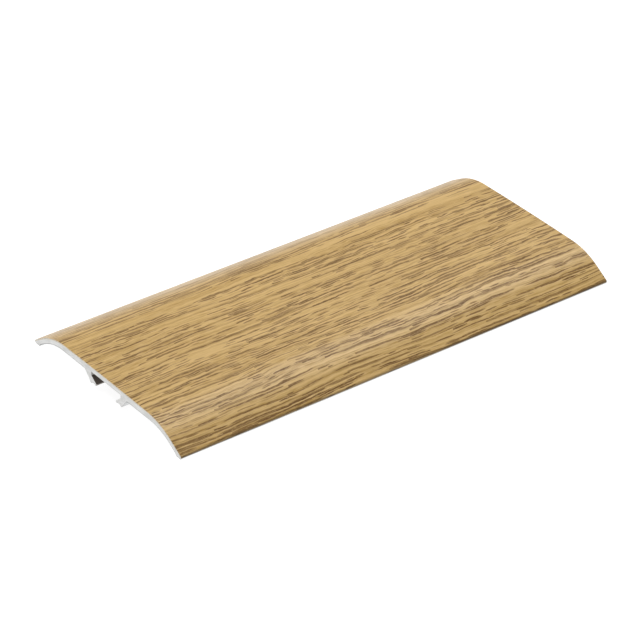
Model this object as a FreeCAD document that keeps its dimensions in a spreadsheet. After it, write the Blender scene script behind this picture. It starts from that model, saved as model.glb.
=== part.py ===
import FreeCAD, Part
import math
import os
import Sketcher

# A threshold strip: an arched aluminium extrusion, wrapped in a printed wood-grain foil.
# X runs along the strip, Y across it and Z up. The origin is on the floor, under the middle of the strip.
# Every outline is drawn for the +Y half of the section, sketch x across and sketch y up, and is mirrored.

# The driving dimensions, in millimetres and degrees. Outside sizes are taken over the foil.
DIMENSIONS = [
    ("strip_length", 100.0, "cut length of the piece"),
    ("strip_width", 48.0, "overall width"),
    ("strip_height", 4.75, "floor to the top of the crown"),
    ("crown_radius", 840.0, "very flat curve across the crown"),
    ("shoulder_radius", 14.9, "bend from the crown to the ramp"),
    ("ramp_angle", 31.5, "slope of the ramp down to the floor"),
    ("lip_radius", 0.45, "rounding where the ramp meets the edge"),
    ("lip_height", 0.4, "floor to the middle of that rounding"),
    ("toe_radius", 0.3, "rounding under the lip, below the rest that the foil stands on"),
    ("foil_thickness", 0.2, "printed foil"),
    ("adhesive_thickness", 0.05, "hot-melt film under the foil"),
    ("ramp_wall", 0.9, "metal thickness along the ramp"),
    ("foot_width", 1.25, "flat under the lip that rests on the floor"),
    ("heel_height", 0.5, "height of the bevel behind the foot"),
    ("inner_shoulder_radius", 12.0, "bend inside the shoulder"),
    ("underside_height", 3.25, "floor to the underside of the crown"),
    ("channel_width", 9.6, "fixing channel, wall to wall"),
    ("channel_roof_height", 3.62, "floor to the roof of the channel"),
    ("mouth_width", 6.4, "opening between the two hooks"),
    ("ledge_height", 2.8, "floor to the outer end of the hook's ledge"),
    ("ledge_angle", 37.0, "fall of the ledge towards the mouth"),
    ("leg_height", 1.05, "floor to the lowest point of a leg"),
    ("leg_angle", 50.0, "slope of the leg's outer face"),
    ("prong_spacing", 9.9, "between the outer prongs of the two legs"),
    ("prong_radius", 0.27, "rounding of every prong"),
    ("groove_radius", 0.95, "shallow hollow between the two prongs of a leg"),
    ("root_radius", 0.8, "fillet where a leg meets the crown"),
    ("leg_overlap", 0.6, "how far a leg runs into the crown"),
]

NORMAL = FreeCAD.Vector(0, 0, 1)
ORIGIN = (-1, 1)
ACROSS = -1
UPRIGHT = -2
START, END, CENTRE = 1, 2, 3


def make_sheet(document):
    """Put the driving dimensions in a spreadsheet, one aliased cell each."""
    sheet = document.addObject("Spreadsheet::Sheet", "Sizes")
    for row, (alias, value, note) in enumerate(DIMENSIONS, start=1):
        sheet.set("A%d" % row, alias)
        sheet.set("B%d" % row, str(value))
        sheet.set("C%d" % row, note)
        sheet.setAlias("B%d" % row, alias)
    document.recompute()
    return sheet


def origin_plane(body, role):
    """One of the body's own origin planes."""
    return [feature for feature in body.Origin.OriginFeatures if feature.Role == role][0]


def point(across, up):
    """A point of the section."""
    return FreeCAD.Vector(across, up, 0)


def heading(angle):
    """The unit vector at this many degrees from the horizontal."""
    return point(math.cos(math.radians(angle)), math.sin(math.radians(angle)))


class Section:
    """A closed outline of lines and arcs across the strip, held by constraints on the sheet's cells."""

    def __init__(self, body, name):
        self.sketch = body.newObject("Sketcher::SketchObject", name)
        self.sketch.AttachmentSupport = (origin_plane(body, "YZ_Plane"), [""])
        self.sketch.MapMode = "FlatFace"

    def line(self, start, end):
        """Draw a straight stretch."""
        return self.sketch.addGeometry(Part.LineSegment(start, end), False)

    def arc(self, centre, radius, first, last):
        """Draw a round stretch, anticlockwise between two angles in degrees."""
        circle = Part.Circle(centre, NORMAL, radius)
        return self.sketch.addGeometry(
            Part.ArcOfCircle(circle, math.radians(first), math.radians(last)), False)

    def rule(self, kind, *where):
        """Add a constraint that has no size."""
        self.sketch.addConstraint(Sketcher.Constraint(kind, *where))

    def join(self, one, one_end, other, other_end):
        """Make two stretches meet."""
        self.rule("Coincident", one, one_end, other, other_end)

    def blend(self, one, one_end, other, other_end):
        """Make two stretches meet with no corner."""
        self.rule("Tangent", one, one_end, other, other_end)

    def bind(self, name, kind, where, expression):
        """Add a constraint whose size follows an expression of the sheet's cells."""
        size = self.sketch.evalExpression(expression)
        index = self.sketch.addConstraint(Sketcher.Constraint(kind, *where, size))
        self.sketch.renameConstraint(index, name)
        self.sketch.setExpression("Constraints." + name, expression)


def draw_cover(section, sheet, inset, prefix):
    """Draw the covered side of the strip, from the crown to the edge, set in from the foil's outer face.

    Returns the crown arc, the ramp line and the edge line. The crown arc ends on the strip's middle plane.
    """
    depth = section.sketch.evalExpression(inset)
    half_width = sheet.strip_width / 2 - depth
    crown_radius = sheet.crown_radius - depth
    shoulder_radius = sheet.shoulder_radius - depth
    lip_radius = sheet.lip_radius - depth
    away = 90 - sheet.ramp_angle
    crown_centre = point(0, sheet.strip_height - sheet.crown_radius)
    lip_centre = point(half_width - lip_radius, sheet.lip_height)
    ramp_reach = lip_centre.dot(heading(away)) + lip_radius
    span = crown_radius - shoulder_radius
    lean = (ramp_reach - shoulder_radius - crown_centre.dot(heading(away))) / span
    junction = away + math.degrees(math.acos(lean))
    shoulder_centre = crown_centre + heading(junction) * span

    crown = section.arc(crown_centre, crown_radius, junction, 90)
    shoulder = section.arc(shoulder_centre, shoulder_radius, away, junction)
    ramp_top = shoulder_centre + heading(away) * shoulder_radius
    ramp = section.line(ramp_top, lip_centre + heading(away) * lip_radius)
    lip = section.arc(lip_centre, lip_radius, 0, away)
    edge = section.line(point(half_width, sheet.lip_height), point(half_width, sheet.toe_radius))

    section.rule("PointOnObject", crown, CENTRE, UPRIGHT)
    section.rule("PointOnObject", crown, END, UPRIGHT)
    section.blend(crown, START, shoulder, END)
    section.blend(shoulder, START, ramp, START)
    section.blend(ramp, END, lip, END)
    section.blend(lip, START, edge, START)
    section.rule("Vertical", edge)
    section.bind(prefix + "height", "DistanceY", (*ORIGIN, crown, END), "Sizes.strip_height - " + inset)
    section.bind(prefix + "crown_radius", "Radius", (crown,), "Sizes.crown_radius - " + inset)
    section.bind(prefix + "shoulder_radius", "Radius", (shoulder,), "Sizes.shoulder_radius - " + inset)
    section.bind(prefix + "lip_radius", "Radius", (lip,), "Sizes.lip_radius - " + inset)
    section.bind(prefix + "ramp_angle", "Angle", (ramp,), "-Sizes.ramp_angle * 1 deg")
    half = "Sizes.strip_width / 2 - " + inset
    section.bind(prefix + "half_width", "DistanceX", (*ORIGIN, edge, START), half)
    section.bind(prefix + "lip_height", "DistanceY", (*ORIGIN, edge, START), "Sizes.lip_height")
    return crown, ramp, edge


def draw_arch(body, sheet):
    """The metal arch: crown, shoulder, ramp and lip, with the channel's roof let into its underside.

    The covered side is set in by the foil's depth, down to a small rest.
    Below it the toe is flush with the foil.
    """
    section = Section(body, "ArchSection")
    skin = "(Sizes.foil_thickness + Sizes.adhesive_thickness)"
    crown, ramp, edge = draw_cover(section, sheet, skin, "")

    depth = sheet.foil_thickness + sheet.adhesive_thickness
    half_width = sheet.strip_width / 2 - depth
    away = 90 - sheet.ramp_angle
    lip_centre = point(half_width - sheet.lip_radius + depth, sheet.lip_height)
    inner_reach = lip_centre.dot(heading(away)) + sheet.lip_radius - depth - sheet.ramp_wall
    inner_radius = sheet.inner_shoulder_radius
    bend_up = sheet.underside_height - inner_radius
    bend_across = (inner_reach - inner_radius - heading(away).y * bend_up) / heading(away).x
    bend_centre = point(bend_across, bend_up)
    heel_across = (inner_reach - heading(away).y * sheet.heel_height) / heading(away).x
    toe_across = sheet.strip_width / 2 - sheet.toe_radius
    foot_end = point(toe_across - sheet.foot_width, 0)
    heel_top = point(heel_across, sheet.heel_height)
    wall_foot = point(sheet.channel_width / 2, sheet.underside_height)
    wall_top = point(sheet.channel_width / 2, sheet.channel_roof_height)
    roof_end = point(0, sheet.channel_roof_height)

    rest = section.line(point(half_width, sheet.toe_radius), point(sheet.strip_width / 2, sheet.toe_radius))
    toe = section.arc(point(toe_across, sheet.toe_radius), sheet.toe_radius, 270, 360)
    foot = section.line(point(toe_across, 0), foot_end)
    heel = section.line(foot_end, heel_top)
    inner_ramp = section.line(heel_top, bend_centre + heading(away) * inner_radius)
    bend = section.arc(bend_centre, inner_radius, away, 90)
    underside = section.line(point(bend_across, sheet.underside_height), wall_foot)
    wall = section.line(wall_foot, wall_top)
    roof = section.line(wall_top, roof_end)
    middle = section.line(roof_end, point(0, sheet.strip_height - depth))

    section.join(edge, END, rest, START)
    section.rule("Horizontal", rest)
    section.join(rest, END, toe, END)
    section.rule("Horizontal", toe, CENTRE, toe, END)
    section.blend(toe, START, foot, START)
    section.rule("PointOnObject", foot, START, ACROSS)
    section.rule("Horizontal", foot)
    section.join(foot, END, heel, START)
    section.join(heel, END, inner_ramp, START)
    section.rule("Parallel", ramp, inner_ramp)
    section.blend(inner_ramp, END, bend, START)
    section.blend(bend, END, underside, START)
    section.rule("Horizontal", underside)
    section.join(underside, END, wall, START)
    section.rule("Vertical", wall)
    section.join(wall, END, roof, START)
    section.rule("Horizontal", roof)
    section.join(roof, END, middle, START)
    section.rule("Vertical", middle)
    section.join(middle, END, crown, END)
    section.bind("toe_across", "DistanceX", (*ORIGIN, rest, END), "Sizes.strip_width / 2")
    section.bind("toe_radius", "Radius", (toe,), "Sizes.toe_radius")
    section.bind("foot_width", "Distance", (foot,), "Sizes.foot_width")
    section.bind("heel_height", "DistanceY", (*ORIGIN, heel, END), "Sizes.heel_height")
    section.bind("ramp_wall", "Distance", (heel, END, ramp), "Sizes.ramp_wall")
    section.bind("bend_radius", "Radius", (bend,), "Sizes.inner_shoulder_radius")
    section.bind("underside_height", "DistanceY", (*ORIGIN, underside, END), "Sizes.underside_height")
    section.bind("channel_half", "DistanceX", (*ORIGIN, wall, END), "Sizes.channel_width / 2")
    section.bind("roof_height", "DistanceY", (*ORIGIN, wall, END), "Sizes.channel_roof_height")
    return section.sketch


def draw_leg(body, sheet):
    """One hooked leg of the fixing channel: a ledge for the screw head, and two prongs, a groove between."""
    section = Section(body, "LegSection")
    tip = sheet.prong_radius
    wall_across = sheet.channel_width / 2
    ledge_top = point(wall_across, sheet.ledge_height)
    hook_across = sheet.mouth_width / 2 + tip
    ledge_fall = (wall_across - hook_across) * math.tan(math.radians(sheet.ledge_angle))
    hook_up = sheet.ledge_height - ledge_fall - tip / math.cos(math.radians(sheet.ledge_angle))
    hook_centre = point(hook_across, hook_up)
    prong_centre = point(sheet.prong_spacing / 2, sheet.leg_height + tip)
    span = prong_centre - hook_centre
    sag = math.sqrt((sheet.groove_radius + tip) ** 2 - (span.Length / 2) ** 2)
    groove_centre = hook_centre + span / 2 + point(span.y, -span.x) * (sag / span.Length)
    hook_side = math.degrees(math.atan2(hook_centre.y - groove_centre.y, hook_centre.x - groove_centre.x))
    prong_side = math.degrees(math.atan2(prong_centre.y - groove_centre.y, prong_centre.x - groove_centre.x))
    outward = sheet.leg_angle - 90
    ledge_side = sheet.ledge_angle + 90
    face_foot = prong_centre + heading(outward) * tip
    root_up = sheet.underside_height - sheet.root_radius
    face_reach = face_foot.dot(heading(outward)) + sheet.root_radius
    root_across = (face_reach - heading(outward).y * root_up) / heading(outward).x
    root_centre = point(root_across, root_up)
    top = sheet.underside_height + sheet.leg_overlap

    wall = section.line(point(wall_across, top), ledge_top)
    ledge = section.line(ledge_top, hook_centre + heading(ledge_side) * tip)
    hook = section.arc(hook_centre, tip, ledge_side, hook_side + 180)
    groove = section.arc(groove_centre, sheet.groove_radius, prong_side, hook_side)
    prong = section.arc(prong_centre, tip, prong_side + 180, outward + 360)
    face = section.line(face_foot, root_centre - heading(outward) * sheet.root_radius)
    root = section.arc(root_centre, sheet.root_radius, 90, outward + 180)
    side = section.line(point(root_across, sheet.underside_height), point(root_across, top))
    cap = section.line(point(root_across, top), point(wall_across, top))

    section.rule("Vertical", wall)
    section.join(wall, END, ledge, START)
    section.blend(ledge, END, hook, START)
    section.blend(hook, END, groove, END)
    section.blend(groove, START, prong, START)
    section.blend(prong, END, face, START)
    section.blend(face, END, root, END)
    section.join(root, START, side, START)
    section.rule("Vertical", root, START, root, CENTRE)
    section.rule("Vertical", side)
    section.join(side, END, cap, START)
    section.rule("Horizontal", cap)
    section.join(cap, END, wall, START)
    section.rule("Equal", hook, prong)
    section.bind("wall_across", "DistanceX", (*ORIGIN, wall, END), "Sizes.channel_width / 2")
    section.bind("ledge_height", "DistanceY", (*ORIGIN, wall, END), "Sizes.ledge_height")
    section.bind("ledge_angle", "Angle", (ledge,), "(Sizes.ledge_angle - 180) * 1 deg")
    hook_place = "Sizes.mouth_width / 2 + Sizes.prong_radius"
    section.bind("hook_across", "DistanceX", (*ORIGIN, hook, CENTRE), hook_place)
    section.bind("prong_radius", "Radius", (prong,), "Sizes.prong_radius")
    section.bind("prong_across", "DistanceX", (*ORIGIN, prong, CENTRE), "Sizes.prong_spacing / 2")
    section.bind("prong_up", "DistanceY", (*ORIGIN, prong, CENTRE), "Sizes.leg_height + Sizes.prong_radius")
    section.bind("groove_radius", "Radius", (groove,), "Sizes.groove_radius")
    section.bind("leg_angle", "Angle", (face,), "Sizes.leg_angle * 1 deg")
    section.bind("root_radius", "Radius", (root,), "Sizes.root_radius")
    section.bind("root_height", "DistanceY", (*ORIGIN, root, START), "Sizes.underside_height")
    section.bind("leg_overlap", "DistanceY", (side, START, side, END), "Sizes.leg_overlap")
    return section.sketch


def draw_skin(body, sheet, name, outer, inner):
    """A thin layer wrapped over the metal, between two depths below the foil's outer face."""
    section = Section(body, name)
    outer_crown, _, outer_edge = draw_cover(section, sheet, outer, "outer_")
    inner_crown, _, inner_edge = draw_cover(section, sheet, inner, "inner_")
    top = point(0, sheet.strip_height)
    outer_across = sheet.strip_width / 2 - section.sketch.evalExpression(outer)
    inner_across = sheet.strip_width / 2 - section.sketch.evalExpression(inner)
    trim = section.line(point(outer_across, sheet.toe_radius), point(inner_across, sheet.toe_radius))
    middle = section.line(top - point(0, section.sketch.evalExpression(inner)),
                          top - point(0, section.sketch.evalExpression(outer)))

    section.join(outer_edge, END, trim, START)
    section.join(trim, END, inner_edge, END)
    section.rule("Horizontal", trim)
    section.join(inner_crown, END, middle, START)
    section.join(middle, END, outer_crown, END)
    section.bind("trim_height", "DistanceY", (*ORIGIN, trim, START), "Sizes.toe_radius")
    return section.sketch


def extrude(body, name, sketch):
    """Run one section along the strip, half each way from the middle."""
    pad = body.newObject("PartDesign::Pad", name)
    pad.Profile = sketch
    pad.SideType = "Symmetric"
    pad.setExpression("Length", "Sizes.strip_length")
    return pad


def mirror(body, features):
    """Complete the section with its -Y half."""
    whole = body.newObject("PartDesign::Mirrored", "BothSides")
    whole.Originals = features
    whole.MirrorPlane = (origin_plane(body, "XZ_Plane"), [""])
    body.Tip = whole


def make_body(document, label):
    """An empty body for one physical piece."""
    body = document.addObject("PartDesign::Body", label)
    body.Label = label
    return body


def make_profile(document, sheet):
    """The aluminium extrusion, sawn square at both ends."""
    body = make_body(document, "aluminium_profile")
    arch = extrude(body, "Arch", draw_arch(body, sheet))
    leg = extrude(body, "Leg", draw_leg(body, sheet))
    mirror(body, [arch, leg])
    return body


def make_adhesive(document, sheet):
    """The hot-melt film between the metal and the foil."""
    body = make_body(document, "adhesive_film")
    inner = "(Sizes.foil_thickness + Sizes.adhesive_thickness)"
    sketch = draw_skin(body, sheet, "FilmSection", "Sizes.foil_thickness", inner)
    mirror(body, [extrude(body, "Film", sketch)])
    return body


def make_foil(document, sheet):
    """The printed wood-grain foil."""
    body = make_body(document, "decor_foil")
    sketch = draw_skin(body, sheet, "FoilSection", "0", "Sizes.foil_thickness")
    mirror(body, [extrude(body, "Foil", sketch)])
    return body


def check(document, bodies):
    """Stop unless every object is sound, every sketch is fully held and every body is one valid solid."""
    for item in document.Objects:
        if "Invalid" in item.State or "Error" in item.State:
            raise RuntimeError("%s is in state %s" % (item.Name, item.State))
        if item.TypeId == "Sketcher::SketchObject" and not item.FullyConstrained:
            raise RuntimeError("%s is not fully constrained" % item.Name)
    for body in bodies:
        if body.Shape.isNull() or not body.Shape.isValid():
            raise RuntimeError("%s has no valid shape" % body.Label)
        if len(body.Shape.Solids) != 1:
            raise RuntimeError("%s has %d solids" % (body.Label, len(body.Shape.Solids)))


def main():
    document = FreeCAD.newDocument("ThresholdStrip")
    sheet = make_sheet(document)
    bodies = [make_profile(document, sheet), make_adhesive(document, sheet), make_foil(document, sheet)]
    document.recompute()
    check(document, bodies)
    os.makedirs("parts", exist_ok=True)
    for body in bodies:
        body.Shape.exportStep(os.path.join("parts", body.Label + ".step"))
        print("%s: %.1f cubic mm, %s" % (body.Label, body.Shape.Volume, body.Shape.BoundBox))


main()
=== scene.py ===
import math
from collections import namedtuple

import bmesh
import bpy
from mathutils import Matrix, Vector


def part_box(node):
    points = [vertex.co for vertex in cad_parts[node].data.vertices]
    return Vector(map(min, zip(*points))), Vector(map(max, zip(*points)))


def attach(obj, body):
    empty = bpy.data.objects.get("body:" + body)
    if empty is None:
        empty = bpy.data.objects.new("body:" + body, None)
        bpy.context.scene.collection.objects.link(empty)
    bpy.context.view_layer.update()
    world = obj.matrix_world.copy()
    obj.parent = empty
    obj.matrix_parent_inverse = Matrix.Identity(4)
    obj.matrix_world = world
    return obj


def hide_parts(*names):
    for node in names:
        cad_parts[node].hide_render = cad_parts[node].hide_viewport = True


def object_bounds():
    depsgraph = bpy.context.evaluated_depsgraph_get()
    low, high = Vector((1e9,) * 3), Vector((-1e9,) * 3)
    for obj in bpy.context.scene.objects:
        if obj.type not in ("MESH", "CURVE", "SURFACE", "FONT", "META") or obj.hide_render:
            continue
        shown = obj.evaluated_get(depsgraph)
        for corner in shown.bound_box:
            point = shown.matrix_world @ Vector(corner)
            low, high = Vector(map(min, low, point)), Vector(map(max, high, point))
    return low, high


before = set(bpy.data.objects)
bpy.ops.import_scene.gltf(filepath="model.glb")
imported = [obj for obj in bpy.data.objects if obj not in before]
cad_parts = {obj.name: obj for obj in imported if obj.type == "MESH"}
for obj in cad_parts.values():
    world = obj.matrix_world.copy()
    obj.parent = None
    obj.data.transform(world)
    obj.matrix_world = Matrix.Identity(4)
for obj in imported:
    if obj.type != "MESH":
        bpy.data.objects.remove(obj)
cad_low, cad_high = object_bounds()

# A threshold strip: an aluminium extrusion wrapped in oak-look foil, seen from above its near corner.
# Everything is in metres, in the frame's axes: X along the strip, Y across it, Z up from the floor.
# Only the patterns of the materials are in millimetres.

MM = 0.001
BODY = "root"

# Sizes of the section that the frame's boxes don't give. They are the design's own.
CROWN_RADIUS = 840.0 * MM
SHOULDER_RADIUS = 14.9 * MM
RAMP_ANGLE = math.radians(31.5)
LIP_RADIUS = 0.45 * MM
LIP_HEIGHT = 0.4 * MM
TOE_RADIUS = 0.3 * MM
RAMP_WALL = 0.9 * MM
FOOT_WIDTH = 1.25 * MM
HEEL_HEIGHT = 0.5 * MM
INNER_SHOULDER_RADIUS = 12.0 * MM
UNDERSIDE_HEIGHT = 3.25 * MM
CHANNEL_HALF = 4.8 * MM
CHANNEL_ROOF = 3.62 * MM
MOUTH_HALF = 3.2 * MM
LEDGE_HEIGHT = 2.8 * MM
LEDGE_ANGLE = math.radians(37)
LEG_HEIGHT = 1.05 * MM
LEG_ANGLE = math.radians(50)
PRONG_ACROSS = 4.95 * MM
PRONG_RADIUS = 0.27 * MM
GROOVE_RADIUS = 0.95 * MM
ROOT_RADIUS = 0.8 * MM

# How many straight steps the ramp and each bend of the section are made of.
CROWN_STEPS = 24
SHOULDER_STEPS = 28
RAMP_STEPS = 8
LIP_STEPS = 10
TOE_STEPS = 10
INNER_SHOULDER_STEPS = 24
ROOT_STEPS = 12
PRONG_STEPS = 14
GROOVE_STEPS = 14
HOOK_STEPS = 18

# The camera: the direction it looks in, how far off it is, and where the strip sits in its view.
VIEW_AZIMUTH = math.radians(-36.88)
VIEW_ELEVATION = math.radians(32.50)
VIEW_ROLL = math.radians(0.19)
VIEW_DISTANCE = 629.24 * MM
VIEW_RIGHT = -0.963 * MM
VIEW_UP = -1.422 * MM
VIEW_LENS = 185.91
SENSOR = 36.0
CLIP_START = 0.01
CLIP_END = 20.0


# ---------------------------------------------------------------- section

def polar(angle, radius=1.0):
    """A point of the section at this angle from the Y axis, as (across, up)."""
    return Vector((math.cos(angle), math.sin(angle))) * radius


def arc(centre, radius, first, last, steps):
    """Points along an arc of the section, both ends included."""
    return [centre + polar(first + (last - first) * i / steps, radius) for i in range(steps + 1)]


class Cover:
    """The covered face of the strip's +Y half, set in from the foil's outer face by a depth.

    away is the direction that the ramp faces, and reach is how far out in that direction the ramp lies.
    """

    def __init__(self, half_width, height, depth):
        self.half_width = half_width - depth
        self.crown_radius = CROWN_RADIUS - depth
        self.shoulder_radius = SHOULDER_RADIUS - depth
        self.lip_radius = LIP_RADIUS - depth
        self.away = math.pi / 2 - RAMP_ANGLE
        self.crown_centre = Vector((0, height - depth - self.crown_radius))
        self.lip_centre = Vector((self.half_width - self.lip_radius, LIP_HEIGHT))
        self.reach = self.lip_centre.dot(polar(self.away)) + self.lip_radius
        span = self.crown_radius - self.shoulder_radius
        lean = (self.reach - self.shoulder_radius - self.crown_centre.dot(polar(self.away))) / span
        self.junction = self.away + math.acos(lean)
        self.shoulder_centre = self.crown_centre + polar(self.junction, span)

    def points(self, foot):
        """The face from the middle of the crown to the height where it ends above the floor."""
        line = arc(self.crown_centre, self.crown_radius, math.pi / 2, self.junction, CROWN_STEPS)
        line += arc(self.shoulder_centre, self.shoulder_radius, self.junction, self.away,
                    SHOULDER_STEPS)[1:]
        ramp_top = line[-1]
        ramp_end = self.lip_centre + polar(self.away, self.lip_radius)
        line += [ramp_top.lerp(ramp_end, i / RAMP_STEPS) for i in range(1, RAMP_STEPS + 1)]
        line += arc(self.lip_centre, self.lip_radius, self.away, 0, LIP_STEPS)[1:]
        line.append(Vector((self.half_width, foot)))
        return line


def mirrored(line):
    """A half section and its other side, from +Y to -Y."""
    return line[::-1] + [Vector((-p.x, p.y)) for p in line[1:]]


def skin_outline(outer, inner, foot):
    """The closed outline of a layer between two covered faces."""
    return mirrored(outer.points(foot)) + mirrored(inner.points(foot))[::-1]


def leg_points():
    """The underside of the strip's +Y half: the root of its leg, both prongs, and the channel's wall.

    The groove between the two prongs is an arc that meets both without a corner.
    """
    hook_across = MOUTH_HALF + PRONG_RADIUS
    ledge_fall = (CHANNEL_HALF - hook_across) * math.tan(LEDGE_ANGLE)
    hook = Vector((hook_across, LEDGE_HEIGHT - ledge_fall - PRONG_RADIUS / math.cos(LEDGE_ANGLE)))
    prong = Vector((PRONG_ACROSS, LEG_HEIGHT + PRONG_RADIUS))
    span = prong - hook
    sag = math.sqrt((GROOVE_RADIUS + PRONG_RADIUS) ** 2 - (span.length / 2) ** 2)
    groove = hook + span / 2 + Vector((span.y, -span.x)) * (sag / span.length)
    hook_side = math.atan2(hook.y - groove.y, hook.x - groove.x)
    prong_side = math.atan2(prong.y - groove.y, prong.x - groove.x)
    ledge_side = LEDGE_ANGLE + math.pi / 2 - 2 * math.pi
    outward = LEG_ANGLE - math.pi / 2
    root_up = UNDERSIDE_HEIGHT - ROOT_RADIUS
    reach = (prong + polar(outward, PRONG_RADIUS)).dot(polar(outward)) + ROOT_RADIUS
    root = Vector(((reach - math.sin(outward) * root_up) / math.cos(outward), root_up))
    line = arc(root, ROOT_RADIUS, math.pi / 2, outward + math.pi, ROOT_STEPS)
    line += arc(prong, PRONG_RADIUS, outward, prong_side - math.pi, PRONG_STEPS)
    line += arc(groove, GROOVE_RADIUS, prong_side, hook_side, GROOVE_STEPS)[1:]
    line += arc(hook, PRONG_RADIUS, hook_side - math.pi, ledge_side, HOOK_STEPS)[1:]
    line.append(Vector((CHANNEL_HALF, LEDGE_HEIGHT)))
    line.append(Vector((CHANNEL_HALF, CHANNEL_ROOF)))
    return line


def profile_outline(cover, half_width):
    """The closed outline of the extrusion, whose toe comes out to the strip's full half width."""
    inner_reach = cover.reach - RAMP_WALL
    bend_reach = inner_reach - INNER_SHOULDER_RADIUS
    bend_up = UNDERSIDE_HEIGHT - INNER_SHOULDER_RADIUS
    bend_across = (bend_reach - math.sin(cover.away) * bend_up) / math.cos(cover.away)
    bend = Vector((bend_across, bend_up))
    heel_across = (inner_reach - math.sin(cover.away) * HEEL_HEIGHT) / math.cos(cover.away)
    toe = Vector((half_width - TOE_RADIUS, TOE_RADIUS))
    half = cover.points(TOE_RADIUS) + arc(toe, TOE_RADIUS, 0, -math.pi / 2, TOE_STEPS)
    half += [Vector((toe.x - FOOT_WIDTH, 0)), Vector((heel_across, HEEL_HEIGHT))]
    half += arc(bend, INNER_SHOULDER_RADIUS, cover.away, math.pi / 2, INNER_SHOULDER_STEPS)
    half += leg_points()
    return half + [Vector((-p.x, p.y)) for p in reversed(half[1:])]


# ---------------------------------------------------------------- meshes

# How many lengths an extrusion is divided into, between its eased edges.
SPANS = 24
# An extrusion's material slots: along it, on its cut faces, and on the eased edges round them.
SIDE, CUT, RIM = 0, 1, 2
# A corner moves in by at most this many times the ease.
MITRE_LIMIT = 2.0
# A point that has moved in keeps at least this share of the ease from every edge of the outline.
CLEAR_SHARE = 0.95
# Points nearer to each other than this are one point.
JOIN_DISTANCE = 0.001 * MM


def clearance(point, outline):
    """How far a point is from the nearest edge of an outline."""
    nearest = math.inf
    for a, b in zip(outline, outline[1:] + outline[:1]):
        along = b - a
        share = min(max((point - a).dot(along) / along.length_squared, 0.0), 1.0)
        nearest = min(nearest, (point - a - along * share).length)
    return nearest


def inset(outline, ease):
    """The outline moved inwards by a small ease, with as many points.

    A moved point that lies too near an edge gives way to the next one along that doesn't.
    """
    count = len(outline)
    area = sum(outline[i].cross(outline[(i + 1) % count]) for i in range(count))
    side = 1 if area > 0 else -1
    moved = []
    for i, p in enumerate(outline):
        before = (p - outline[i - 1]).normalized()
        after = (outline[(i + 1) % count] - p).normalized()
        along = (before + after).normalized()
        stretch = 1 / max(along.dot(before), 1 / MITRE_LIMIT)
        moved.append(p + Vector((-along.y, along.x)) * side * ease * stretch)
    clear = [i for i in range(count) if clearance(moved[i], outline) > CLEAR_SHARE * ease]

    def apart(i, k):
        return min(abs(k - i), count - abs(k - i))

    return [moved[min(clear, key=lambda k: apart(i, k))] for i in range(count)]


def extrusion(name, outline, low_x, high_x, ease, fall):
    """A closed solid: the outline run along X, its edges eased by a width and a fall at both cuts."""
    eased = inset(outline, ease)
    stations = [(low_x, eased), (low_x + fall, outline)]
    stations += [(low_x + (high_x - low_x) * i / SPANS, outline) for i in range(1, SPANS)]
    stations += [(high_x - fall, outline), (high_x, eased)]
    count = len(outline)
    verts = [(x, p.x, p.y) for x, ring in stations for p in ring]
    faces = []
    for k in range(len(stations) - 1):
        for i in range(count):
            j = (i + 1) % count
            faces.append((k * count + i, k * count + j, (k + 1) * count + j, (k + 1) * count + i))
    slots = [RIM] * count + [SIDE] * (len(faces) - 2 * count) + [RIM] * count + [CUT] * 2
    last = (len(stations) - 1) * count
    faces.append(tuple(range(count)))
    faces.append(tuple(range(last + count - 1, last - 1, -1)))
    mesh = bpy.data.meshes.new(name)
    mesh.from_pydata(verts, [], faces)
    mesh.update()
    mesh.polygons.foreach_set("use_smooth", [True] * len(faces))
    mesh.polygons.foreach_set("material_index", slots)
    piece = bpy.data.objects.new(name, mesh)
    bpy.context.scene.collection.objects.link(piece)
    return piece


def measure_surface(piece, outline):
    """Give each point of a layer its place on the unrolled layer, in millimetres.

    The first value is along the strip, and the second round the section: 0 in the middle of the crown,
    which is a quarter of the way through the outline, and negative on the +Y side.
    """
    lengths = [0.0]
    for a, b in zip(outline, outline[1:]):
        lengths.append(lengths[-1] + (b - a).length)
    count = len(outline)
    middle = lengths[count // 4]
    values = []
    for i, vertex in enumerate(piece.data.vertices):
        values += [vertex.co.x / MM, (lengths[i % count] - middle) / MM, 0.0]
    place = piece.data.attributes.new("unrolled", "FLOAT_VECTOR", "POINT")
    place.data.foreach_set("vector", values)


def close_shell(piece):
    """Join the points that coincide in a closed mesh, and turn its every face outwards."""
    shell = bmesh.new()
    shell.from_mesh(piece.data)
    bmesh.ops.remove_doubles(shell, verts=shell.verts, dist=JOIN_DISTANCE)
    bmesh.ops.recalc_face_normals(shell, faces=shell.faces)
    shell.to_mesh(piece.data)
    shell.free()


# ---------------------------------------------------------------- material graphs

# Nearly all of a noise's values lie between these.
NOISE_RANGE = (0.3, 0.7)
BUMP_STRENGTH = 0.5


class Field:
    """A node's output: a number, place or colour that varies over a surface. Sums with it add nodes."""

    def __init__(self, graph, socket):
        self.graph = graph
        self.socket = socket

    def __add__(self, other):
        return self.graph.math("ADD", self, other)

    def __sub__(self, other):
        return self.graph.math("SUBTRACT", self, other)

    def __rsub__(self, other):
        return self.graph.math("SUBTRACT", other, self)

    def __mul__(self, other):
        return self.graph.math("MULTIPLY", self, other)

    def __truediv__(self, other):
        return self.graph.math("DIVIDE", self, other)

    def __pow__(self, other):
        return self.graph.math("POWER", self, other)

    def __abs__(self):
        return self.graph.math("ABSOLUTE", self)


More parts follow.
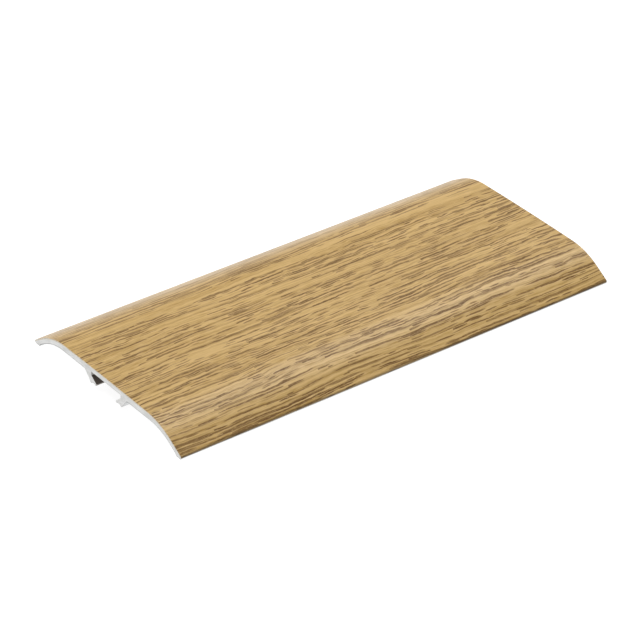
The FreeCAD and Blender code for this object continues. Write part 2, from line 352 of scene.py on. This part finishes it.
class Graph:
    """A short way to write a material's nodes."""

    def __init__(self, name):
        self.material = bpy.data.materials.new(name)
        self.material.use_nodes = True
        self.tree = self.material.node_tree
        self.shader = self.tree.nodes["Principled BSDF"]

    def node(self, kind, **settings):
        """A node of that kind, with its properties set."""
        made = self.tree.nodes.new("ShaderNode" + kind)
        for key, value in settings.items():
            setattr(made, key, value)
        return made

    def field(self, made, output=0):
        """One output of a node, by its name or number."""
        return Field(self, made.outputs[output])

    def feed(self, socket, value):
        """Link a socket to a field, or set it to a constant."""
        if isinstance(value, Field):
            self.tree.links.new(value.socket, socket)
        else:
            socket.default_value = value

    def shade(self, looks):
        """Feed the shader's sockets, given by name."""
        for name, value in looks.items():
            self.feed(self.shader.inputs[name], value)

    def bump(self, height, distance):
        """Relief of that depth in metres, on the shader's normal."""
        made = self.node("Bump")
        made.inputs["Strength"].default_value = BUMP_STRENGTH
        made.inputs["Distance"].default_value = distance
        self.feed(made.inputs["Height"], height)
        self.shade({"Normal": self.field(made)})

    def math(self, operation, *values):
        """A maths node's result."""
        made = self.node("Math", operation=operation)
        for socket, value in zip(made.inputs, values):
            self.feed(socket, value)
        return self.field(made)

    def most(self, *values):
        """The largest of some numbers."""
        largest = values[0]
        for value in values[1:]:
            largest = self.math("MAXIMUM", largest, value)
        return largest

    def ramp(self, value, low, high, to_low=0.0, to_high=1.0, smooth=True):
        """The value eased from one range to another, and held at both ends."""
        kind = "SMOOTHSTEP" if smooth else "LINEAR"
        made = self.node("MapRange", interpolation_type=kind, clamp=True)
        for socket, number in zip(made.inputs, (value, low, high, to_low, to_high)):
            self.feed(socket, number)
        return self.field(made)

    def between(self, share, low, high):
        """The number that lies a share of the way from one to another."""
        return self.ramp(share, 0.0, 1.0, low, high, smooth=False)

    def vector(self, x, y, z=0.0):
        """Three values as one vector."""
        made = self.node("CombineXYZ")
        for socket, value in zip(made.inputs, (x, y, z)):
            self.feed(socket, value)
        return self.field(made)

    def split(self, vector):
        """The three values of a vector or colour."""
        made = self.node("SeparateXYZ")
        self.feed(made.inputs[0], vector)
        return [self.field(made, axis) for axis in "XYZ"]

    def geometry(self, output):
        """The surface's own place or direction, in the frame."""
        return self.field(self.node("NewGeometry"), output)

    def place(self, axis):
        """Where the surface is along one axis, in millimetres."""
        return self.split(self.geometry("Position"))["XYZ".index(axis)] / MM

    def noise(self, place, detail=2.0, roughness=0.5):
        """Soft random values, one per unit of the place."""
        made = self.node("TexNoise", noise_dimensions="3D")
        self.feed(made.inputs["Vector"], place)
        made.inputs["Scale"].default_value = 1.0
        made.inputs["Detail"].default_value = detail
        made.inputs["Roughness"].default_value = roughness
        return self.field(made)

    def specks(self, size, detail):
        """A noise with cells of that size in millimetres, the same in every direction."""
        made = self.node("VectorMath", operation="SCALE")
        self.feed(made.inputs[0], self.geometry("Position"))
        made.inputs["Scale"].default_value = 1 / (size * MM)
        return self.noise(self.field(made), detail)

    def blend(self, share, one, other):
        """One colour, with another laid over it by a share."""
        made = self.node("Mix", data_type="RGBA")
        for socket, value in zip((made.inputs[0], made.inputs[6], made.inputs[7]), (share, one, other)):
            self.feed(socket, value)
        return self.field(made, 2)

    def mottle(self, noise, one, other):
        """Patches of two colours."""
        return self.blend(self.ramp(noise, *NOISE_RANGE), one, other)


# ---------------------------------------------------------------- oak print

# Lengths, widths and places in this part are in millimetres, on the unrolled foil.

# A noise with cells of that length along the grain and width across it. The seed picks a part of it.
Cells = namedtuple("Cells", "length width seed")

# Rows of dashes, a pitch apart, with one dash or none in each length. The share is how many hold one.
Dashes = namedtuple("Dashes", "pitch length thickness seed share")

# The grain leans a little for each millimetre along the strip, and wanders slowly between two shifts.
GRAIN_LEAN = 0.01
FLOW = Cells(38.0, 15.0, 3.1)
FLOW_RANGE = (0.2, 0.8)
FLOW_SHIFT = (-1.0, 1.0)
# It ripples too: by the first of these on the crown, and by the second where the print is straight.
RIPPLE = Cells(3.4, 1.6, 7.7)
RIPPLE_SHIFT = (0.87, 0.45)

# Bands round the section, from where each starts to where it is full. The print is straight on both
# ramps, and veiled by smoke low on the +Y one.
FAR_STRAIGHT = (-14.0, -15.5)
NEAR_STRAIGHT = (18.0, 19.5)
VEIL = (-15.5, -18.5)
VEIL_DEPTH = 0.35

# A line with few dashes: its middle, how far from it dashes come back, and how much share they lose.
BARE_LINE = -12.9
BARE_EDGE = (0.5, 1.6)
BARE_LOSS = 0.6

# Rows where dashes crowd or are rare, and by how much their share changes there.
ROWS = Cells(60.0, 0.75, 12.3)
ROWS_RANGE = (0.34, 0.66)
ROWS_CHANGE = (-0.36, 0.36)

SHORT_DASHES = Dashes(0.62, 5.0, 0.35, 101.0, 0.64)
MIDDLING_DASHES = Dashes(0.90, 13.0, 0.44, 203.0, 0.68)
LONG_DASHES = Dashes(1.5, 36.0, 0.38, 307.0, 0.64)
LONG_DEPTH = 0.85
FINE_DASHES = Dashes(0.7, 18.0, 0.30, 409.0, 0.60)

# What differs from dash to dash, least and most: half its length as a share of its cell, half its width as
# a share of its thickness, and its depth of colour.
DASH_REACH = (0.16, 0.60)
DASH_GIRTH = (0.35, 0.5)
DASH_DEPTH = (0.65, 1.0)
# How late a dash narrows towards its tips, and where its edge fades, from outside to inside.
DASH_TAPER = 3.0
DASH_EDGE = (-0.06, 0.08)
# A dash comes in over this much of the share.
DASH_FADE = 0.12
# The rows start up to this many cells apart in one noise.
ROW_STARTS = 500.0
# What makes a second random number out of the first.
REDRAW = 37.0

# Gaps in the dashes, and how much of a dash is left in them and between them.
GAPS = Cells(0.9, 0.10, 80.0)
GAPS_RANGE = (0.30, 0.50)
GAPS_DEPTH = (0.40, 1.0)

# Smoky streaks start at this value of their noise, and lower where dashes crowd.
STREAKS = Cells(18.0, 0.45, 60.0)
STREAKS_START = 0.52
STREAKS_CROWDING = 0.25
STREAKS_FADE = 0.20
STREAKS_DEPTH = 0.45
VEIL_SMOKE = 0.5

TONE = Cells(60.0, 0.42, 30.0)
TONE_RANGE = (0.34, 0.66)
FIBRE = Cells(2.2, 0.13, 50.0)
FIBRE_RANGE = (0.35, 0.75)
FIBRE_DEPTH = 0.7
PORE_DEPTH = 0.96

# Painted shadow along both lips, in dark brown, from the height where it starts down to where it is full.
LIP_SHADOW = (0.9, 0.5)
LIP_SHADOW_DEPTH = 0.62

GOLD = (0.592, 0.396, 0.153, 1)
PALE_GOLD = (0.670, 0.462, 0.214, 1)
TAN = (0.400, 0.244, 0.066, 1)
PORE = (0.105, 0.040, 0.002, 1)
SMOKE = (0.240, 0.136, 0.028, 1)
LIP_SHADOW_BROWN = (0.040, 0.024, 0.012, 1)

# The roughness of the plain print and of the pores, and how deep the pores are pressed in.
PRINT_ROUGHNESS = (0.34, 0.48)
PRINT_SPECULAR = 0.38
PORE_RELIEF = 0.02 * MM


def grain_noise(graph, along, across, cells, detail=2.0):
    """A noise that is stretched along the grain."""
    place = graph.vector(along / cells.length, across / cells.width, cells.seed)
    return graph.noise(place, detail)


def dashes(graph, along, across, kind, crowd):
    """Rows of tapered dashes: 1 inside a dash, 0 between. The crowding adds to their share."""
    rank = (across + kind.seed) / kind.pitch
    row = graph.math("FLOOR", rank)
    offset = (rank - row - 0.5) * kind.pitch
    start = graph.node("TexWhiteNoise", noise_dimensions="1D")
    graph.feed(start.inputs["W"], row + kind.seed)
    cells = graph.node("TexVoronoi", voronoi_dimensions="1D", feature="F1")
    graph.feed(cells.inputs["W"], along / kind.length + graph.field(start, "Value") * ROW_STARTS)
    cells.inputs["Scale"].default_value = 1.0
    lot, sway, size = graph.split(graph.field(cells, "Color"))

    there = graph.ramp(crowd + kind.share - lot, 0.0, DASH_FADE)
    reach = graph.field(cells, "Distance") / graph.between(size, *DASH_REACH)
    taper = 1.0 - reach ** DASH_TAPER
    thin, thick = [share * kind.thickness for share in DASH_GIRTH]
    half = taper * graph.between(size, thin, thick)
    room = (kind.pitch - kind.thickness) / 2
    side = abs(offset - graph.between(sway, -room, room))
    inside = graph.ramp(half - side, *DASH_EDGE)
    depth = graph.between(graph.math("FRACT", lot * REDRAW), *DASH_DEPTH)
    return inside * there * depth


def wavy_grain(graph, along, across, straight):
    """How far across the grain a place on the foil is, in a grain that isn't quite along the strip."""
    flow = grain_noise(graph, along, across, FLOW, detail=1.0)
    ripple = grain_noise(graph, along, across, RIPPLE)
    wander = graph.ramp(flow, *FLOW_RANGE, *FLOW_SHIFT, smooth=False)
    shift = wander + (ripple - 0.5) * graph.between(straight, *RIPPLE_SHIFT)
    return across + along * GRAIN_LEAN + shift


def oak_pores(graph, along, grain, straight, crowd):
    """The dark dashes, with finer ones added where the print is straight, and gaps in them all."""
    short = dashes(graph, along, grain, SHORT_DASHES, crowd)
    middling = dashes(graph, along, grain, MIDDLING_DASHES, crowd)
    long_lines = dashes(graph, along, grain, LONG_DASHES, crowd) * LONG_DEPTH
    fine_lines = dashes(graph, along, grain, FINE_DASHES, crowd) * straight
    gaps = grain_noise(graph, along, grain, GAPS)
    left = graph.ramp(gaps, *GAPS_RANGE, *GAPS_DEPTH, smooth=False)
    return graph.most(short, middling, long_lines, fine_lines) * left


def oak_colour(graph, along, grain, pores, smoke):
    """Gold between tan and pale gold, with smoke and pores over it, and a painted shadow in brown along the
    lips.
    """
    tone = graph.ramp(grain_noise(graph, along, grain, TONE), *TONE_RANGE)
    fibre = graph.ramp(grain_noise(graph, along, grain, FIBRE), *FIBRE_RANGE, 0.0, FIBRE_DEPTH)
    colour = graph.blend(tone, TAN, GOLD)
    colour = graph.blend(fibre, colour, PALE_GOLD)
    colour = graph.blend(smoke, colour, SMOKE)
    colour = graph.blend(pores * PORE_DEPTH, colour, PORE)
    # Painted shadow: the foil darkens towards the floor along both lips.
    lip_shadow = graph.ramp(graph.place("Z"), *LIP_SHADOW)
    return graph.blend(lip_shadow * LIP_SHADOW_DEPTH, colour, LIP_SHADOW_BROWN)


def oak_print():
    """Golden oak printed on satin foil: wavy grain, dark pores and smoky streaks along the strip."""
    graph = Graph("oak_print")
    unrolled = graph.node("Attribute", attribute_name="unrolled")
    along, across, _ = graph.split(graph.field(unrolled, "Vector"))
    straight = graph.most(graph.ramp(across, *FAR_STRAIGHT), graph.ramp(across, *NEAR_STRAIGHT))
    bare = 1.0 - graph.ramp(abs(across - BARE_LINE), *BARE_EDGE)
    veil = graph.ramp(across, *VEIL, 0.0, VEIL_DEPTH)

    grain = wavy_grain(graph, along, across, straight)
    rows = grain_noise(graph, along, grain, ROWS)
    crowd = graph.ramp(rows, *ROWS_RANGE, *ROWS_CHANGE, smooth=False) - bare * BARE_LOSS
    pores = oak_pores(graph, along, grain, straight, crowd) * (1.0 - veil)
    streaks = grain_noise(graph, along, grain, STREAKS) - (STREAKS_START - crowd * STREAKS_CROWDING)
    smoke = graph.ramp(streaks, 0.0, STREAKS_FADE) * STREAKS_DEPTH + veil * VEIL_SMOKE

    graph.shade({
        "Base Color": oak_colour(graph, along, grain, pores, smoke),
        "Roughness": graph.between(pores, *PRINT_ROUGHNESS),
        "Specular IOR Level": PRINT_SPECULAR,
    })
    graph.bump(pores * -1.0, PORE_RELIEF)
    return graph.material


# ---------------------------------------------------------------- plastics and metals

CORE_DARK = (0.58, 0.54, 0.46, 1)
CORE_LIGHT = (0.68, 0.65, 0.58, 1)
CORE_SPECK = 0.3
CORE_ROUGHNESS = 0.6

MELT_DARK = (0.62, 0.52, 0.34, 1)
MELT_LIGHT = (0.74, 0.66, 0.48, 1)
MELT_CLOUD = 1.5
MELT_ROUGHNESS = 0.45

# The die leaves lines of this length and width. The haze over them has patches this long and wide.
DIE_LINE = (60.0, 0.12)
DIE_LINE_RELIEF = 0.004 * MM
HAZE = (14.0, 3.0)
MILL_DULL = (0.55, 0.56, 0.56, 1)
MILL_BRIGHT = (0.68, 0.69, 0.69, 1)
MILL_ROUGHNESS = (0.30, 0.46)

# Painted shade in the screw channel, in dark brown, which ends softly at the channel's walls.
CHANNEL_SHADE_BROWN = (0.200, 0.170, 0.145, 1)
CHANNEL_SHADE_DEPTH = 0.85
CHANNEL_SHADE_EDGE = 0.05

# The saw's marks are arcs about the middle of its blade, this far below the strip, with this pitch and
# length. Dull and bright blotches of this width and height lie over them.
BLADE_RADIUS = 125.0
SAW_MARK = (0.09, 9.0)
SAW_RELIEF = 0.01 * MM
BLOTCH = (2.5, 1.2)
SAWN_DULL = (0.55, 0.55, 0.54, 1)
SAWN_BRIGHT = (0.66, 0.66, 0.65, 1)
SAWN_ROUGHNESS = (0.34, 0.52)

# The rims are darker where they face down, and lighten as their normals rise between these heights. They are
# less dark on the legs, which start between these distances on either side of the middle.
RIM_DARK = (0.20, 0.20, 0.20, 1)
RIM_LIGHT = (0.28, 0.28, 0.28, 1)
RIM_GRIT = 0.25
RIM_FACING = (-0.1, 0.05)
LEG_START = (7.2, 6.4)
LEG_LIGHTENING = 0.6
RIM_ROUGHNESS = (0.35, 0.5)


def foil_core():
    """The foil's plastic carrier, seen at its cut edges and underneath."""
    graph = Graph("foil_core")
    speck = graph.specks(CORE_SPECK, detail=3.0)
    graph.shade({"Base Color": graph.mottle(speck, CORE_DARK, CORE_LIGHT), "Roughness": CORE_ROUGHNESS})
    return graph.material


def hot_melt():
    """Amber hot-melt adhesive."""
    graph = Graph("hot_melt_film")
    cloud = graph.specks(MELT_CLOUD, detail=2.0)
    graph.shade({"Base Color": graph.mottle(cloud, MELT_DARK, MELT_LIGHT), "Roughness": MELT_ROUGHNESS})
    return graph.material


def mill_aluminium():
    """Extruded aluminium as it leaves the die, with fine lines along it and painted shade in its channel."""
    graph = Graph("mill_aluminium")
    along, across, up = [graph.place(axis) for axis in "XYZ"]
    line_length, line_width = DIE_LINE
    haze_length, haze_width = HAZE
    line_place = graph.vector(along / line_length, across / line_width, up / line_width)
    lines = graph.noise(line_place, detail=3.0, roughness=0.6)
    haze = graph.noise(graph.vector(along / haze_length, across / haze_width, up), detail=3.0)
    wall = CHANNEL_HALF / MM
    # Painted shade: the faces inside the screw channel are darkened towards brown.
    channel_shade = graph.ramp(abs(across), wall + CHANNEL_SHADE_EDGE, wall - CHANNEL_SHADE_EDGE) * CHANNEL_SHADE_DEPTH
    metal = graph.mottle(haze, MILL_DULL, MILL_BRIGHT)
    graph.shade({
        "Base Color": graph.blend(channel_shade, metal, CHANNEL_SHADE_BROWN),
        "Metallic": 1.0,
        "Roughness": graph.ramp(lines, *NOISE_RANGE, *MILL_ROUGHNESS),
    })
    graph.bump(lines, DIE_LINE_RELIEF)
    return graph.material


def sawn_aluminium():
    """The bright face left by the saw, with shallow curved marks."""
    graph = Graph("sawn_aluminium")
    across, up = [graph.place(axis) for axis in "YZ"]
    drop = up + BLADE_RADIUS
    sweep = graph.math("SQRT", across * across + drop * drop)
    mark_pitch, mark_length = SAW_MARK
    marks = graph.noise(graph.vector(sweep / mark_pitch, across / mark_length), detail=3.0)
    blotch_width, blotch_height = BLOTCH
    blotch = graph.noise(graph.vector(across / blotch_width, up / blotch_height))
    graph.shade({
        "Base Color": graph.mottle(blotch, SAWN_DULL, SAWN_BRIGHT),
        "Metallic": 1.0,
        "Roughness": graph.ramp(marks, *NOISE_RANGE, *SAWN_ROUGHNESS),
    })
    graph.bump(marks, SAW_RELIEF)
    return graph.material


def rim_aluminium():
    """The rolled edge round a cut: bright beside the foil, and darker where it faces down."""
    graph = Graph("rim_aluminium")
    grit = graph.specks(RIM_GRIT, detail=3.0)
    facing = graph.split(graph.geometry("True Normal"))[2]
    on_leg = graph.ramp(abs(graph.place("Y")), *LEG_START, 0.0, LEG_LIGHTENING)
    lightened = graph.most(graph.ramp(facing, *RIM_FACING), on_leg)
    dark_rim = graph.mottle(grit, RIM_DARK, RIM_LIGHT)
    graph.shade({
        "Base Color": graph.blend(lightened, dark_rim, SAWN_BRIGHT),
        "Metallic": 1.0,
        "Roughness": graph.ramp(grit, *NOISE_RANGE, *RIM_ROUGHNESS),
    })
    return graph.material


# ---------------------------------------------------------------- pieces

# How far the cut edges are eased. A corner sharper than this angle stays crisp in the shading.
SKIN_EASE = 0.015 * MM
SKIN_CORNER = math.radians(40)
RIM_WIDTH = 0.13 * MM
RIM_FALL = 0.04 * MM
PROFILE_CORNER = math.radians(30)


def dress(piece, node_name, materials):
    """Give a finished piece its materials and its place in the frame."""
    for material in materials:
        piece.data.materials.append(material)
    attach(piece, BODY)
    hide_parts(node_name)


def make_skin(name, node_name, outer, inner, materials):
    """A wrapped layer between two covered faces, with its place on the unrolled surface."""
    low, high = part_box(node_name)
    outline = skin_outline(outer, inner, low.z)
    piece = extrusion(name, outline, low.x, high.x, SKIN_EASE, SKIN_EASE)
    measure_surface(piece, outline)
    close_shell(piece)
    piece.data.set_sharp_from_angle(angle=SKIN_CORNER)
    dress(piece, node_name, materials)


def make_profile(cover):
    """The aluminium extrusion."""
    low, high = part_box("aluminium_profile")
    outline = profile_outline(cover, high.y)
    piece = extrusion("profile_extrusion", outline, low.x, high.x, RIM_WIDTH, RIM_FALL)
    close_shell(piece)
    piece.data.set_sharp_from_angle(angle=PROFILE_CORNER)
    materials = (mill_aluminium(), sawn_aluminium(), rim_aluminium())
    dress(piece, "aluminium_profile", materials)


def make_strip():
    """The three pieces of the strip, inside their boxes in the frame."""
    foil_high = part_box("decor_foil")[1]
    film_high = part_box("adhesive_film")[1]
    metal_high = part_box("aluminium_profile")[1]
    foil_face = Cover(foil_high.y, foil_high.z, 0.0)
    film_face = Cover(foil_high.y, foil_high.z, foil_high.z - film_high.z)
    metal_face = Cover(foil_high.y, foil_high.z, foil_high.z - metal_high.z)
    core = foil_core()
    make_skin("oak_foil", "decor_foil", foil_face, film_face, (oak_print(), core, core))
    melt = hot_melt()
    make_skin("melt_film", "adhesive_film", film_face, metal_face, (melt, melt, melt))
    make_profile(metal_face)


# ---------------------------------------------------------------- studio

WHITE = (1, 1, 1, 1)

# The floor glows by the first of FLOOR_GLOW near the strip, and by the second far off: GLOW_RISE is where it
# changes, in metres. Under the strip only the share UNDER_GLOW of that is left, as a painted shadow.
# END_FADE and SIDE_FADE are how far inside the strip's ends and sides it fades, in millimetres.
FLOOR_GREY = (0.25, 0.25, 0.25, 1)
FLOOR_ROUGHNESS = 0.9
FLOOR_SPECULAR = 0.1
FLOOR_HALF = 3.0
FLOOR_DROP = 0.01 * MM
FLOOR_GLOW = (0.92, 1.0)
GLOW_RISE = (0.2, 1.2)
END_FADE = (26.0, 9.0)
SIDE_FADE = 1.0
UNDER_GLOW = 0.08

# The room's brightness against the height that a ray points to.
ROOM_FADE = {"From Min": 0.05, "From Max": 0.35, "To Min": 1.0, "To Max": 0.18}

# Each lamp's direction from the strip, how far off and how wide it is in metres, and its watts.
Lamp = namedtuple("Lamp", "name direction distance size power")
LAMPS = (
    Lamp("key", (-0.15, 0.25, 0.92), 1.2, 0.8, 11.5),
    Lamp("glint", (0.49, 0.28, 0.82), 0.6, 0.32, 1.1),
)


def floor_white():
    """A plain surface that glows, so that it stays pale to the horizon, but hardly under the strip: a
    painted shadow.
    """
    graph = Graph("white_floor")
    half_length, half_width = cad_high.x / MM, cad_high.y / MM
    fade_start, fade_end = END_FADE
    # Painted shadow: the glow fades inside the strip's ends and sides.
    past_end = graph.ramp(abs(graph.place("X")), half_length - fade_start, half_length - fade_end)
    past_side = graph.ramp(abs(graph.place("Y")), half_width - SIDE_FADE, half_width, UNDER_GLOW, 1.0)
    away = graph.node("VectorMath", operation="LENGTH")
    graph.feed(away.inputs[0], graph.geometry("Position"))
    glow = graph.ramp(graph.field(away, "Value"), *GLOW_RISE, *FLOOR_GLOW)
    graph.shade({
        "Base Color": FLOOR_GREY,
        "Roughness": FLOOR_ROUGHNESS,
        "Specular IOR Level": FLOOR_SPECULAR,
        "Emission Color": WHITE,
        "Emission Strength": graph.most(past_end, past_side) * glow,
    })
    return graph.material


def make_floor():
    """A square floor, just below the strip."""
    mesh = bpy.data.meshes.new("floor")
    corners = [(-FLOOR_HALF, -FLOOR_HALF, 0), (FLOOR_HALF, -FLOOR_HALF, 0),
               (FLOOR_HALF, FLOOR_HALF, 0), (-FLOOR_HALF, FLOOR_HALF, 0)]
    mesh.from_pydata(corners, [], [(0, 1, 2, 3)])
    mesh.materials.append(floor_white())
    floor = bpy.data.objects.new("floor", mesh)
    floor.location.z = cad_low.z - FLOOR_DROP
    bpy.context.scene.collection.objects.link(floor)


def make_world():
    """A soft white room: bright at the horizon, dimmer overhead."""
    world = bpy.data.worlds.new("studio")
    world.use_nodes = True
    tree = world.node_tree
    place = tree.nodes.new("ShaderNodeTexCoord")
    parts = tree.nodes.new("ShaderNodeSeparateXYZ")
    fade = tree.nodes.new("ShaderNodeMapRange")
    fade.interpolation_type = "SMOOTHSTEP"
    for name, value in ROOM_FADE.items():
        fade.inputs[name].default_value = value
    background = tree.nodes["Background"]
    background.inputs["Color"].default_value = WHITE
    tree.links.new(place.outputs["Generated"], parts.inputs[0])
    tree.links.new(parts.outputs["Z"], fade.inputs["Value"])
    tree.links.new(fade.outputs[0], background.inputs["Strength"])
    bpy.context.scene.world = world


def make_lamp(lamp):
    """A square soft light, facing the strip from a direction."""
    data = bpy.data.lights.new(lamp.name, "AREA")
    data.shape = "SQUARE"
    data.size = lamp.size
    data.energy = lamp.power
    direction = Vector(lamp.direction)
    light = bpy.data.objects.new(lamp.name, data)
    light.location = direction.normalized() * lamp.distance
    light.rotation_mode = "QUATERNION"
    light.rotation_quaternion = direction.to_track_quat("Z", "Y")
    bpy.context.scene.collection.objects.link(light)


def make_camera():
    """The camera at the viewing angle."""
    level = math.cos(VIEW_ELEVATION)
    look = Vector((-math.sin(VIEW_AZIMUTH) * level,
                   math.cos(VIEW_AZIMUTH) * level,
                   -math.sin(VIEW_ELEVATION)))
    right = look.cross(Vector((0, 0, 1))).normalized()
    up = right.cross(look)
    data = bpy.data.cameras.new("camera")
    data.sensor_width = SENSOR
    data.lens = VIEW_LENS
    data.clip_start = CLIP_START
    data.clip_end = CLIP_END
    camera = bpy.data.objects.new("camera", data)
    turn = Matrix((right, up, -look)).transposed() @ Matrix.Rotation(VIEW_ROLL, 3, "Z")
    camera.rotation_mode = "QUATERNION"
    camera.rotation_quaternion = turn.to_quaternion()
    camera.location = -look * VIEW_DISTANCE + right * VIEW_RIGHT + up * VIEW_UP
    bpy.context.scene.collection.objects.link(camera)
    bpy.context.scene.camera = camera


def main():
    """The strip, then its studio."""
    make_strip()
    make_floor()
    make_world()
    for lamp in LAMPS:
        make_lamp(lamp)
    make_camera()
    bpy.context.scene.view_settings.view_transform = "Standard"


main()
